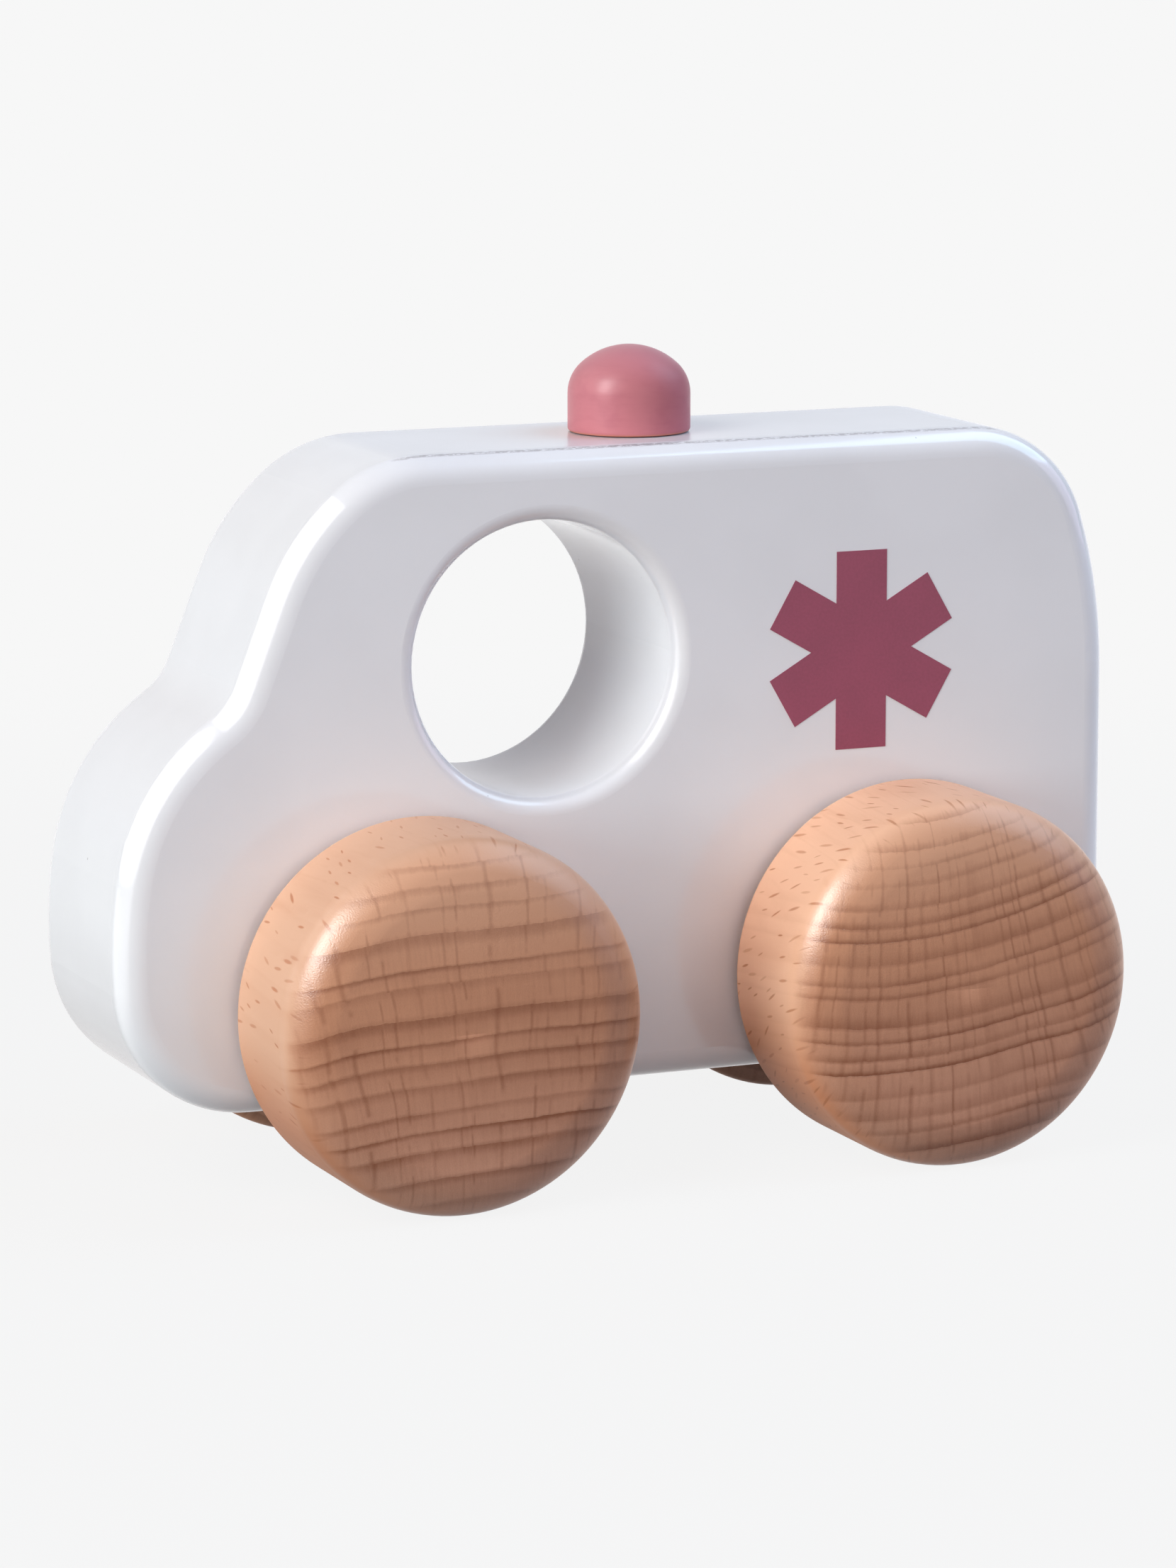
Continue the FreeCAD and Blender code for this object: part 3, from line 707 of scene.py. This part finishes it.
# places on the knob in millimetres: heights above the roof, and towards the tail from its middle
TAIL_SIDE_SPAN = (-2.0, 6.0)
LIT_DOME_SPAN = (5.5, 8.5)
FOOT_SPAN = (0.40, 0.10)
CONTACT_SHADOW_SPAN = (0.16, 0.08)
# waves of the turning marks round the knob and for each pitch, and waves of the paint's clouds
MARK_WAVES = (1.6, 0.4)
PAINT_WAVES = (0.35, 0.35, 0.6)
THIN_PAINT_STEP = (0.45, 0.85)  # where the clouds' thin paint starts and is full
MARK_LEVEL = 0.45               # above which the turning marks show
MARK_ROUGHNESS = 0.12


def make_pink(settings):
    finish, shader = material("pink_satin")
    middle = (LAMP_LOW + LAMP_HIGH) / 2
    x, y, z = shader.split(shader.place((middle.x, middle.y, LAMP_LOW.z)))
    around, for_each_pitch = MARK_WAVES
    pitch = settings.turning_pitch / MM
    marks = shader.noise(shader.point(x.angle(y) * around, z / pitch * for_each_pitch, 0.0), 4.0, 0.65)
    cloud = shader.waves((x, y, z), PAINT_WAVES)
    layers = (
        # mask, its strength and the colour that is laid over those before it
        (cloud.ramp(*THIN_PAINT_STEP), 0.35, settings.thin_paint_and_shade),
        ((marks - MARK_LEVEL).within(), 0.35, settings.thin_paint_and_shade),
        # painted shade on the knob's side towards the tail
        (x.ramp(*TAIL_SIDE_SPAN), 0.7, settings.thin_paint_and_shade),
        # painted light on the top of the dome
        (z.ramp(*LIT_DOME_SPAN), 0.6, settings.lit_crown),
        (z.ramp(*FOOT_SPAN), 0.7, settings.bare),
        # painted shadow where the knob meets the roof
        (z.ramp(*CONTACT_SHADOW_SPAN), 1.0, settings.gap),
    )
    colour = settings.pink
    for mask, strength, laid_over in layers:
        colour = shader.blend(mask * strength, colour, laid_over)
    shader.finish({
        "Base Color": colour,
        "Roughness": settings.roughness + (marks - 0.5) * MARK_ROUGHNESS,
        "Specular IOR Level": 0.16,
        "Normal": shader.bump(marks, settings.turning_depth),
    })
    return finish


# Printed cross


# waves of the ink's fine mottle and of its clouds in each millimetre, and the mottle's depth
MOTTLE_WAVES = (3.0, 1.0, 3.0)
INK_CLOUD_WAVES = (0.2, 1.0, 0.2)
MOTTLE_SHARE = 0.6
INK_TONE = 0.88
MOTTLE_DEPTH = 0.004 * MM


def make_ink(settings):
    finish, shader = material("burgundy_ink")
    axes = shader.split(shader.place())
    mottle = shader.waves(axes, MOTTLE_WAVES)
    cloud = shader.waves(axes, INK_CLOUD_WAVES, detail=1.0)
    uneven = (mottle * MOTTLE_SHARE + cloud * (1.0 - MOTTLE_SHARE)).ramp(*SOFT_STEP)
    shader.finish({
        "Base Color": shader.blend(uneven, toned(settings.ink, INK_TONE), settings.ink),
        "Roughness": 0.42,
        "Coat Weight": 0.3,
        "Coat Roughness": 0.2,
        "Normal": shader.bump(mottle, MOTTLE_DEPTH),
    })
    return finish


def new_object(name, data):
    made = bpy.data.objects.new(name, data)
    bpy.context.scene.collection.objects.link(made)
    return made


def mesh_object(name, bm, finish):
    mesh = bpy.data.meshes.new(name)
    bm.to_mesh(mesh)
    bm.free()
    mesh.materials.append(finish)
    return new_object(name, mesh)


def corners(grown):
    return [item for item in grown["geom"] if isinstance(item, bmesh.types.BMVert)]


def make_cross(name, settings, side, finish):
    """A six-armed cross of thin film on one side face. Side is -1 towards -Y and 1 towards +Y."""
    bm = bmesh.new()
    arms = 6
    upright = Matrix.Rotation(math.pi / arms, 4, "Z")
    bmesh.ops.create_circle(bm, cap_ends=True, radius=settings.arm_width, segments=arms, matrix=upright)
    apothem = settings.arm_width * math.cos(math.pi / arms)
    reach = settings.span / 2 - apothem
    for edge in list(bm.edges):
        middle = (edge.verts[0].co + edge.verts[1].co) / 2
        arm = bmesh.ops.extrude_edge_only(bm, edges=[edge])
        bmesh.ops.translate(bm, verts=corners(arm), vec=middle.normalized() * reach)
    film = bmesh.ops.extrude_face_region(bm, geom=list(bm.faces))
    bmesh.ops.translate(bm, verts=corners(film), vec=(0, 0, settings.film))
    bmesh.ops.recalc_face_normals(bm, faces=bm.faces)
    face_y = BODY_HIGH.y if side > 0 else BODY_LOW.y
    centre = Vector((BODY_HIGH.x - settings.tail_setback, face_y, settings.height))
    outward = Matrix.Rotation(-side * math.pi / 2, 4, "X")
    bmesh.ops.transform(bm, matrix=Matrix.Translation(centre) @ outward, verts=bm.verts)
    piece = mesh_object(name, bm, finish)
    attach(piece, "body")


# Studio


SENSOR_WIDTH = 36.0             # millimetres, like the lens
NEAREST_SEEN = 10 * MM
FLOOR_HALF = 12.0               # metres
# distances on the floor from the toy's middle, in metres
PLAIN_SPAN = (0.10, 0.35)       # where the paper stops taking light and shadow
UNDER_SPAN = (0.06, 0.22)       # where the mirrored floor turns from the shaded to the open one
NOSE_SPAN = (0.03, 0.10)        # where the bright stretch past the nose starts
NOSE_SPREAD = 1.2               # how much narrower than long it starts
NOSE_END_SPAN = (0.8, 1.6)      # where it ends
PAPER_LIT = 0.06                # share of the paper that takes light and shadow near the toy

LIGHTS = {
    # name: (azimuth and elevation in degrees, distance, width and height in metres, watts, colour,
    # what it lights: matt surfaces, glossy ones or both)
    "softbox_left": (-67, 36, 0.85, 0.60, 0.55, 3.95, (1.0, 0.91, 0.85), "diffuse"),
    "softbox_left_low": (-70, 8, 0.85, 0.40, 0.25, 3.4, (0.82, 0.97, 1.0), "diffuse"),
    "softbox_left_gloss": (-90, 32, 0.85, 1.75, 0.95, 14.0, (1.0, 1.0, 1.0), "glossy"),
    "softbox_left_core": (-72, 30, 0.80, 0.26, 0.42, 11.0, (1.0, 1.0, 1.0), "glossy"),
    "softbox_front": (5, 15, 0.85, 0.60, 0.40, 1.05, (1.0, 0.86, 0.85), "diffuse"),
    "softbox_right": (80, 45, 0.85, 0.60, 0.60, 3.8, (0.52, 0.78, 1.0), "both"),
    "softbox_right_low": (75, 15, 0.85, 0.60, 0.40, 0.85, (0.90, 0.78, 1.0), "both"),
}

# soft light from the world: the direction's axis, its sign and the light's colour
WORLD_LIGHT = (
    ("z", 1.0, (0.11, 0.10, 0.11)),
    ("y", -1.0, (0.17, 0.15, 0.15)),
    ("y", 1.0, (0.09, 0.08, 0.08)),
    ("x", -1.0, (0.09, 0.08, 0.08)),
    ("x", 1.0, (0.28, 0.28, 0.36)),
)
# what the toy's gloss mirrors of the world: all round, from its right side and from above, and how
# much of a direction has to point there
WORLD_MIRRORED = (0.84, 0.84, 0.86)
RIGHT_MIRRORED = (1.0, 1.0, 1.03)
RIGHT_SPAN = (0.45, 0.90)
ABOVE_MIRRORED = (1.50, 1.47, 1.60)
ABOVE_SPAN = (0.30, 0.95)
# what it mirrors of the floor: under the toy, further off, and the bright stretch past its nose
UNDER_MIRRORED = (0.84, 0.82, 0.82)
FLOOR_MIRRORED = (1.04, 1.04, 1.05)
NOSE_MIRRORED = (2.4, 2.4, 2.4)
# the paper's grey where it throws light on the toy, and where the camera sees it
PAPER_BOUNCE = (0.245, 0.24, 0.25)
PAPER_SEEN = (0.80, 0.80, 0.80)


def aim(item, place, target):
    item.location = place
    item.rotation_euler = (Vector(target) - Vector(place)).to_track_quat("-Z", "Y").to_euler()


def towards(azimuth, elevation):
    """The direction at an angle round the toy from its left side, and an angle above the ground."""
    flat = math.cos(elevation)
    return Vector((math.sin(azimuth) * flat, -math.cos(azimuth) * flat, math.sin(elevation)))


def make_camera(settings):
    data = bpy.data.cameras.new("camera")
    camera = new_object("camera", data)
    target = Vector((settings.target_x, 0.0, settings.target_z))
    aim(camera, target + towards(settings.azimuth, settings.elevation) * settings.distance, target)
    data.sensor_width = SENSOR_WIDTH
    data.lens = settings.lens
    data.clip_start = NEAREST_SEEN
    bpy.context.scene.camera = camera


def make_lights(target):
    for name, (azimuth, elevation, distance, width, height, watts, colour, lit) in LIGHTS.items():
        data = bpy.data.lights.new(name, "AREA")
        data.shape = "RECTANGLE"
        data.size = width
        data.size_y = height
        data.energy = watts
        data.color = colour
        light = new_object(name, data)
        light.visible_glossy = lit != "diffuse"
        light.visible_diffuse = lit != "glossy"
        aim(light, target + towards(math.radians(azimuth), math.radians(elevation)) * distance, target)


def make_world(settings):
    world = bpy.data.worlds.new("studio_world")
    bpy.context.scene.world = world
    shader = Shader(world)
    seen, glossy = shader.light_rays()
    direction = dict(zip("xyz", shader.split(shader.add("ShaderNodeTexCoord", output="Generated"))))
    soft = (0.0, 0.0, 0.0)
    for axis, sign, colour in WORLD_LIGHT:
        soft = shader.blend((sign * direction[axis]).most(0.0) ** 2.0, soft, colour, "ADD")
    mirrored = shader.blend(direction["y"].ramp(*RIGHT_SPAN), WORLD_MIRRORED, RIGHT_MIRRORED)
    mirrored = shader.blend(direction["z"].ramp(*ABOVE_SPAN), mirrored, ABOVE_MIRRORED)
    colour = shader.blend(glossy, soft, mirrored)
    colour = shader.blend(seen, colour, settings.backdrop)
    glow = shader.add("ShaderNodeBackground", {}, {"Color": colour, "Strength": 1.0})
    shader.add("ShaderNodeOutputWorld", {}, {"Surface": glow}, output=())


def make_floor(settings):
    finish, shader = material("floor_paper")
    seen, glossy = shader.light_rays()
    here = shader.add("ShaderNodeTexCoord", output="Object")
    x, y, _ = shader.split(here)
    away = shader.length(here)

    # near the toy a share of the paper takes light and shadow, and further off it is plain
    plain = 1.0 - PAPER_LIT + PAPER_LIT * away.ramp(*PLAIN_SPAN)
    share = seen * plain + (1.0 - seen) * glossy
    mirrored = shader.blend(away.ramp(*UNDER_SPAN), UNDER_MIRRORED, FLOOR_MIRRORED)
    past_nose = (-x - abs(y) * NOSE_SPREAD).ramp(*NOSE_SPAN) * (1.0 - away.ramp(*NOSE_END_SPAN))
    mirrored = shader.blend(past_nose, mirrored, NOSE_MIRRORED)
    paper = shader.blend(glossy, settings.backdrop, mirrored)
    glow = shader.add("ShaderNodeEmission", {}, {"Color": paper, "Strength": 1.0})
    lit = shader.add("ShaderNodeBsdfDiffuse", {}, {"Color": shader.blend(seen, PAPER_BOUNCE, PAPER_SEEN)})
    shader.add_output(shader.add("ShaderNodeMixShader", {}, {0: share, 1: lit, 2: glow}))

    bm = bmesh.new()
    bmesh.ops.create_grid(bm, x_segments=1, y_segments=1, size=FLOOR_HALF)
    mesh_object("floor", bm, finish)


# Operators


class DressBody(bpy.types.Operator):
    """Lacquers the body block."""

    bl_idname = "toy_ambulance.dress_body"
    bl_label = "Lacquer the body"

    def execute(self, context):
        dress("body_block", make_lacquer(context.scene.toy_ambulance.lacquer))
        return {"FINISHED"}


class DressWheels(bpy.types.Operator):
    """Gives each wheel its own piece of varnished beech."""

    bl_idname = "toy_ambulance.dress_wheels"
    bl_label = "Varnish the wheels"

    def execute(self, context):
        for node, growth in WHEEL_GROWTH.items():
            dress(node, make_beech(node, growth, context.scene.toy_ambulance.beech))
        return {"FINISHED"}


class DressDowels(bpy.types.Operator):
    """Leaves the axles and the lamp's dowel in plain wood."""

    bl_idname = "toy_ambulance.dress_dowels"
    bl_label = "Finish the dowels"

    def execute(self, context):
        for node in ("front_axle", "rear_axle", "lamp_dowel"):
            dress(node, make_dowel_wood(node, context.scene.toy_ambulance.beech))
        return {"FINISHED"}


class DressLamp(bpy.types.Operator):
    """Paints the lamp knob."""

    bl_idname = "toy_ambulance.dress_lamp"
    bl_label = "Paint the lamp"

    def execute(self, context):
        dress("roof_lamp", make_pink(context.scene.toy_ambulance.lamp))
        return {"FINISHED"}


class PrintCrosses(bpy.types.Operator):
    """Prints the cross on both sides of the body."""

    bl_idname = "toy_ambulance.print_crosses"
    bl_label = "Print the crosses"

    def execute(self, context):
        settings = context.scene.toy_ambulance.cross
        ink = make_ink(settings)
        make_cross("left_cross", settings, -1, ink)
        make_cross("right_cross", settings, 1, ink)
        return {"FINISHED"}


class SetStage(bpy.types.Operator):
    """Sets up the camera, the floor and the lights."""

    bl_idname = "toy_ambulance.set_stage"
    bl_label = "Set the stage"

    def execute(self, context):
        settings = context.scene.toy_ambulance.studio
        context.scene.view_settings.view_transform = "Standard"
        make_camera(settings)
        make_lights(Vector((0.0, 0.0, settings.target_z)))
        make_world(settings)
        make_floor(settings)
        return {"FINISHED"}


class ToyPanel(bpy.types.Panel):
    """Lists the toy's pieces and the stage."""

    bl_idname = "VIEW3D_PT_toy_ambulance"
    bl_label = "Toy ambulance"
    bl_space_type = "VIEW_3D"
    bl_region_type = "UI"
    bl_category = "Toy ambulance"

    def draw(self, context):
        for operator in OPERATORS:
            self.layout.operator(operator.bl_idname)


GROUPS = (LacquerSettings, BeechSettings, LampSettings, PrintSettings, StudioSettings, ToySettings)
OPERATORS = (SetStage, DressBody, DressWheels, DressDowels, DressLamp, PrintCrosses)


def register():
    for group in (*GROUPS, *OPERATORS, ToyPanel):
        bpy.utils.register_class(group)
    bpy.types.Scene.toy_ambulance = PointerProperty(type=ToySettings)


def unregister():
    del bpy.types.Scene.toy_ambulance
    for group in reversed((*GROUPS, *OPERATORS, ToyPanel)):
        bpy.utils.unregister_class(group)


def main():
    register()
    steps = bpy.ops.toy_ambulance
    steps.set_stage()
    steps.dress_body()
    steps.dress_wheels()
    steps.dress_dowels()
    steps.dress_lamp()
    steps.print_crosses()


if __name__ == "__main__":
    main()
